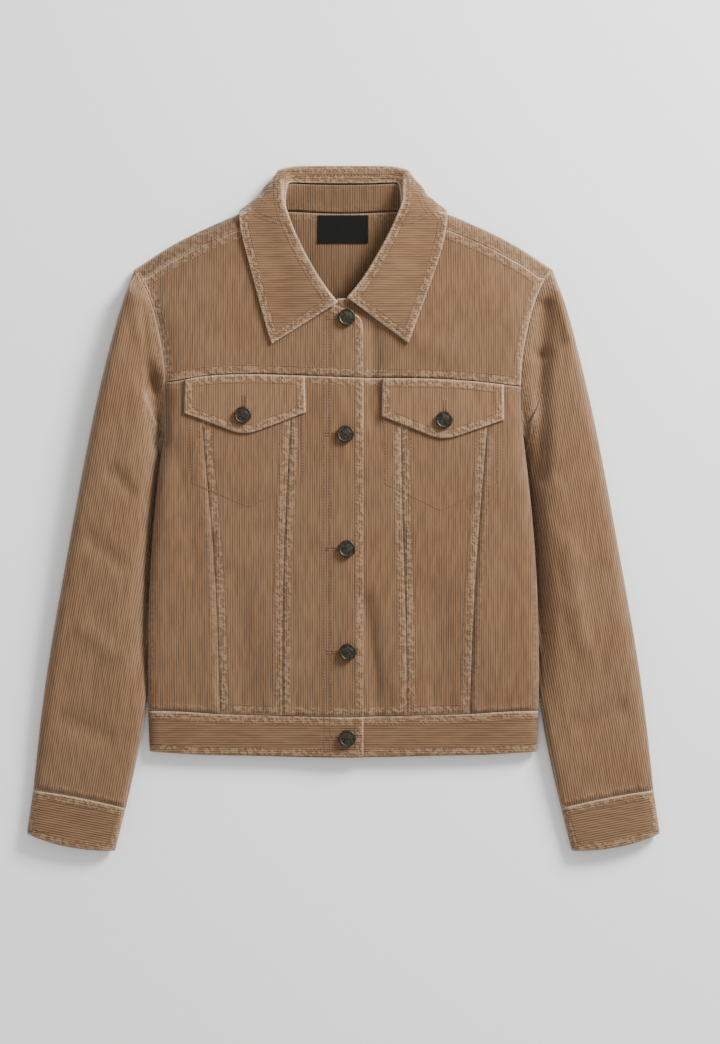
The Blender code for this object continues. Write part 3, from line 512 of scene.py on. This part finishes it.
def dropped(surface, x, y, along, length=STITCH_LENGTH):
    """A stitch on the surface below a point in plan, or None."""
    place, normal, _, _ = surface.ray_cast(Vector((x, y, DROP_HEIGHT)), Vector((0, 0, -1)))
    if place is None or normal.z < STEEPEST_STITCH:
        return None
    flat = Vector((along.x, along.y, 0)).normalized()
    along = (flat - normal * flat.dot(normal)).normalized()
    return place + normal * STITCH_LIFT, along, length


def rim_stitches(piece, rims, offsets):
    """Rows of stitches that follow the rim of a panel."""
    surface = surface_of([piece])
    near = tree_of([rim[0] for rim in rims])
    found = []
    for offset in offsets:
        for middle, along, inward, length in rims:
            count = max(1, round(length / STITCH_PITCH))
            for i in range(count):
                place = middle + along * length * ((i + 0.5) / count - 0.5) + inward * offset
                if near.find(place)[2] > offset - ROW_TOLERANCE:
                    fitting = min(STITCH_LENGTH, 0.8 * length / count)
                    found.append(dropped(surface, place.x, place.y, along, fitting))
    return found


def straight_stitches(surface, start, end, pitch=STITCH_PITCH, length=STITCH_LENGTH, turned=False):
    """A straight row of stitches in plan; turned ones lie across the row."""
    start, end = Vector((*start, 0)), Vector((*end, 0))
    along = (end - start).normalized()
    lie = Vector((-along.y, along.x, 0)) if turned else along
    count = int((end - start).length / pitch)
    return [dropped(surface, *(start + along * pitch * (i + 0.5)).xy, lie, length) for i in range(count)]


def buttonhole_side(surface, start, end):
    """One long side of a buttonhole: short stitches close together, across its length."""
    return straight_stitches(surface, start, end, BUTTONHOLE_PITCH, BUTTONHOLE_STITCH, turned=True)


def button_piece(node, material):
    """A turned button with a raised rim round a dome, where its CAD solid is."""
    low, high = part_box(node)
    radius = (high.x - low.x) / 2
    tall = high.z - low.z
    middle = (low + high) / 2
    lift = float(fold_height(middle.x / MM, middle.y / MM)) * MM
    made = bmesh.new()
    rings = []
    for share, level in BUTTON_PROFILE:
        turns = [2 * math.pi * i / BUTTON_SIDES for i in range(BUTTON_SIDES)]
        ring = [(radius * share * math.cos(t), radius * share * math.sin(t), tall * level) for t in turns]
        rings.append([made.verts.new(point) for point in ring])
    for first, second in zip(rings, rings[1:]):
        for i in range(BUTTON_SIDES):
            j = (i + 1) % BUTTON_SIDES
            made.faces.new((first[i], first[j], second[j], second[i]))
    made.faces.new(rings[0][::-1])
    made.faces.new(rings[-1])
    made.transform(Matrix.Translation((middle.x, middle.y, low.z + lift)))
    mesh = bpy.data.meshes.new(node + "_turned")
    made.to_mesh(mesh)
    made.free()
    mesh.shade_smooth()
    mesh.materials.append(material)
    piece = placed(node + "_turned", mesh)
    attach(piece, "root")
    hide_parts(node)


def build_cloth():
    made = {}
    for node in sorted(NODES):
        if kind_of(node):
            made[node] = cloth_piece(node)
    return made


def build_stitches(made):
    places = []
    for node, (piece, rims) in made.items():
        places += rim_stitches(piece, rims, STITCH_ROWS.get(kind_of(node), ()))
    fronts = surface_of([made[node][0] for node in made if node.startswith(("front_", "waistband_"))])
    for node in ("pocket_bag_r", "pocket_bag_l"):
        for middle, along, _, length in made[node][1]:
            for i in range(max(1, round(length / STITCH_PITCH))):
                at = middle + along * (STITCH_PITCH * (i + 0.5) - length / 2)
                places.append(dropped(fronts, at.x, at.y, along))
    for x, top in FACING_ROWS:
        places += straight_stitches(fronts, (x, FACING_FOOT), (x, top))
    for i in range(1, 6):
        low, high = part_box(f"button_{i}")
        y = (low.y + high.y) / 2 / MM
        for step in (-BUTTONHOLE_HALF_WIDTH, BUTTONHOLE_HALF_WIDTH):
            places += buttonhole_side(fronts, (-18, y + step), (-5, y + step))
    flaps = surface_of([made["flap_r"][0], made["flap_l"][0]])
    for side in "rl":
        low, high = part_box(f"flap_button_{side}")
        x = (low.x + high.x) / 2 / MM + 1.0
        for step in (-BUTTONHOLE_HALF_WIDTH, BUTTONHOLE_HALF_WIDTH):
            top = high.y / MM
            places += buttonhole_side(flaps, (x + step, top + 0.5), (x + step, top + 12))
    mesh = stitch_mesh([place for place in places if place])
    mesh.materials.append(thread())
    mesh.shade_smooth()
    piece = placed("stitches", mesh)
    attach(piece, "root")


def build_stage():
    bpy.ops.mesh.primitive_plane_add(size=FLOOR_SIZE, location=(0, 0, -FLOOR_DROP))
    floor = bpy.context.object
    floor.name = "floor"
    material, _, shader = principled("pale_floor", 0.9)
    shader.inputs["Base Color"].default_value = FLOOR_COLOUR
    floor.data.materials.append(material)
    world = bpy.data.worlds.new("studio")
    world.use_nodes = True
    world.node_tree.nodes["Background"].inputs["Color"].default_value = (1.0, 1.0, 1.0, 1)
    world.node_tree.nodes["Background"].inputs["Strength"].default_value = SKY_STRENGTH
    bpy.context.scene.world = world
    lamp = bpy.data.lights.new("window", "AREA")
    lamp.energy = WINDOW_POWER
    lamp.size = WINDOW_SIZE
    light = placed("window", lamp)
    light.location = WINDOW_PLACE
    light.rotation_euler = (-light.location).to_track_quat("-Z", "Y").to_euler()


def build_camera():
    data = bpy.data.cameras.new("camera")
    data.sensor_fit = "VERTICAL"
    data.angle = 2 * math.atan(VIEW_HEIGHT / 2 / CAMERA_HEIGHT)
    camera = placed("camera", data)
    camera.location = (VIEW_CENTRE[0] * MM, VIEW_CENTRE[1] * MM, CAMERA_HEIGHT * MM)
    bpy.context.scene.camera = camera


build_camera()
cloth = build_cloth()
build_stitches(cloth)
metal = gunmetal()
for name in sorted(NODES):
    if "button" in name:
        button_piece(name, metal)
NODES["label"].data.materials.clear()
NODES["label"].data.materials.append(woven_black())
build_stage()
